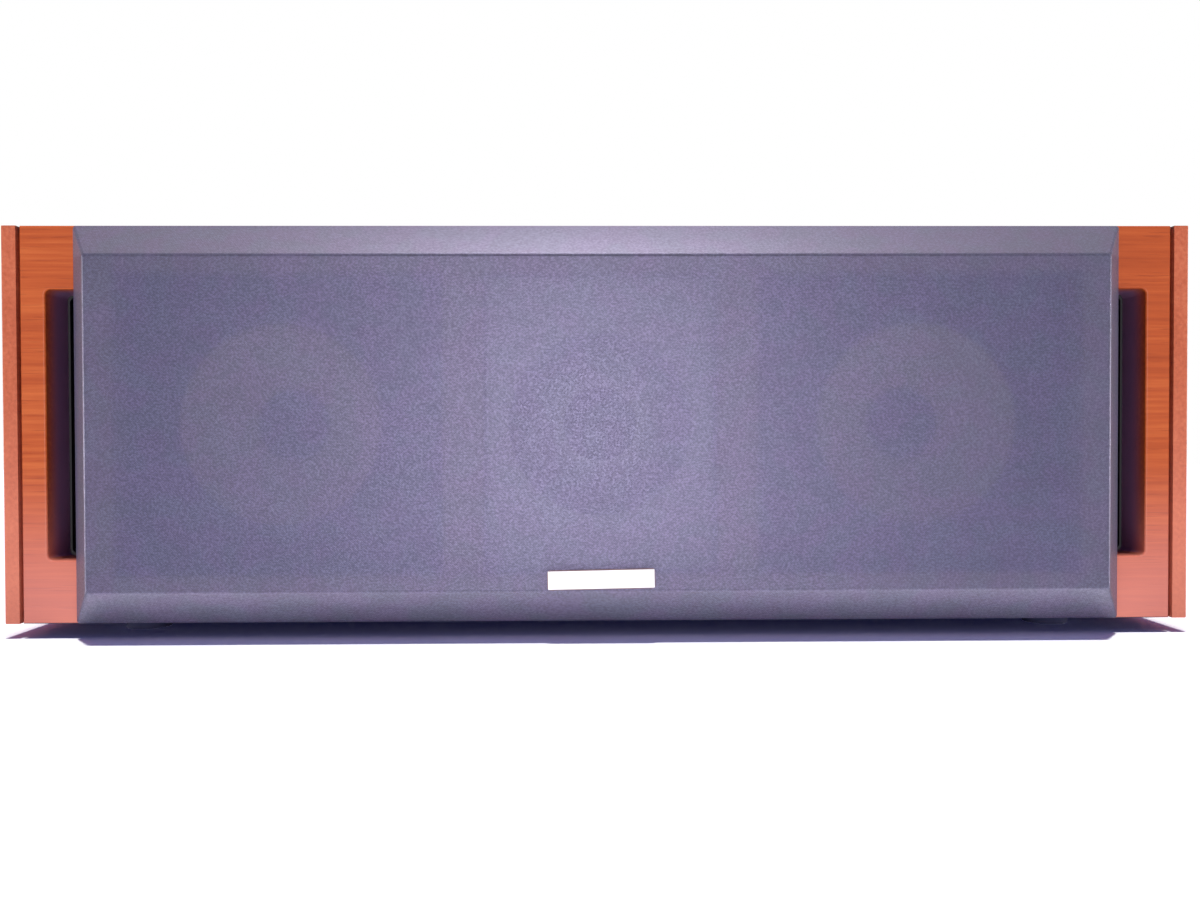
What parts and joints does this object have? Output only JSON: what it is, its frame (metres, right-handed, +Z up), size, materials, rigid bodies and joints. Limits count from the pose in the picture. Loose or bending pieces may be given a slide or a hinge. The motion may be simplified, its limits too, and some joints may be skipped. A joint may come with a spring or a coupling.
{
  "type": "center channel speaker",
  "caption": "Wide, low two-way loudspeaker cabinet in cherry veneer with slot ports at the ends, a bevelled lift-off cloth grille over cone woofers and a dome tweeter, and rear binding posts.",
  "frame": {"origin": "on the floor under the middle of the whole speaker, at the soles of its feet", "axes": "+Z up, -Y out of the front of the grille, +X to the right as seen from the front, which is also the long way"},
  "size_m": [0.48, 0.2168, 0.166],
  "materials": {
    "cherry_veneer": "satin",
    "black_board": "matt",
    "duct_plastic": "matt",
    "foot_rubber": "matt",
    "bare_fibreboard": "matt",
    "grille_fabric": "matt",
    "peg_plastic": "satin",
    "badge_silver": "satin",
    "basket_steel": "satin",
    "surround_rubber": "matt",
    "cone_paper": "matt",
    "cap_paper": "matt",
    "spider_cloth": "matt",
    "coil_copper": "satin",
    "plated_steel": "satin",
    "ferrite": "matt",
    "black_screw": "satin",
    "tweeter_grey": "satin",
    "dome_fabric": "satin",
    "cup_plastic": "satin",
    "post_brass": "polished",
    "red_plastic": "gloss",
    "black_plastic": "gloss",
    "circuit_board": "satin",
    "capacitor_film": "gloss",
    "lead_insulation": "satin",
    "damping_felt": "matt"
  },
  "bodies": {
    "cabinet": {"black_post": "post_brass", "board_pillars": "peg_plastic", "bottom_panel": "cherry_veneer", "crossover_board": "circuit_board", "damping_pads": "damping_felt", "feet": "foot_rubber", "front_baffle": "cherry_veneer", "grille_sockets": "peg_plastic", "input_leads": "lead_insulation", "left_cheek": "cherry_veneer", "left_port_duct": "duct_plastic", "left_side_wall": "cherry_veneer", "left_woofer_basket": "basket_steel", "left_woofer_lead": "lead_insulation", "left_woofer_magnet": "ferrite", "left_woofer_spider": "spider_cloth", "left_woofer_surround": "surround_rubber", "left_woofer_top_plate": "plated_steel", "left_woofer_yoke": "plated_steel", "post_nuts": "post_brass", "rear_panel": "black_board", "red_post": "post_brass", "right_cheek": "cherry_veneer", "right_port_duct": "duct_plastic", "right_side_wall": "cherry_veneer", "right_woofer_basket": "basket_steel", "right_woofer_lead": "lead_insulation", "right_woofer_magnet": "ferrite", "right_woofer_spider": "spider_cloth", "right_woofer_surround": "surround_rubber", "right_woofer_top_plate": "plated_steel", "right_woofer_yoke": "plated_steel", "terminal_cup": "cup_plastic", "terminal_screws": "black_screw", "top_panel": "cherry_veneer", "tweeter_capacitor": "capacitor_film", "tweeter_dome": "dome_fabric", "tweeter_inductor": "coil_copper", "tweeter_lead": "lead_insulation", "tweeter_magnet": "ferrite", "tweeter_plate": "tweeter_grey", "tweeter_screws": "black_screw", "tweeter_top_plate": "plated_steel", "tweeter_voice_coil": "coil_copper", "tweeter_yoke": "plated_steel", "woofer_capacitor": "capacitor_film", "woofer_inductor": "coil_copper", "woofer_screws": "black_screw"},
    "grille": {"grille_frame": "bare_fibreboard", "grille_cloth": "grille_fabric", "grille_pegs": "peg_plastic", "badge": "badge_silver"},
    "left_cone": {"left_woofer_cone": "cone_paper", "left_woofer_dust_cap": "cap_paper", "left_woofer_voice_coil": "coil_copper"},
    "right_cone": {"right_woofer_cone": "cone_paper", "right_woofer_dust_cap": "cap_paper", "right_woofer_voice_coil": "coil_copper"},
    "red_terminal_knob": {"red_knob": "red_plastic"},
    "black_terminal_knob": {"black_knob": "black_plastic"}
  },
  "joints": [
    {"name": "grille_pull", "type": "slide", "parent": "cabinet", "child": "grille", "axis": [0, -1, 0], "range_m": [0, 0.12]},
    {"name": "left_cone_travel", "type": "slide", "parent": "cabinet", "child": "left_cone", "axis": [0, -1, 0], "range_m": [-0.003, 0.003], "stiffness_N_per_m": 1000, "deforming": ["left_woofer_surround", "left_woofer_spider"]},
    {"name": "right_cone_travel", "type": "slide", "parent": "cabinet", "child": "right_cone", "axis": [0, -1, 0], "range_m": [-0.003, 0.003], "stiffness_N_per_m": 1000, "deforming": ["right_woofer_surround", "right_woofer_spider"]},
    {"name": "red_knob_turn", "type": "hinge", "parent": "cabinet", "child": "red_terminal_knob", "pos_m": [-0.0095, 0.08985, 0.086], "axis": [0, 1, 0], "range_deg": [0, 1080]},
    {"name": "black_knob_turn", "type": "hinge", "parent": "cabinet", "child": "black_terminal_knob", "pos_m": [0.0095, 0.08985, 0.086], "axis": [0, 1, 0], "range_deg": [0, 1080]}
  ]
}
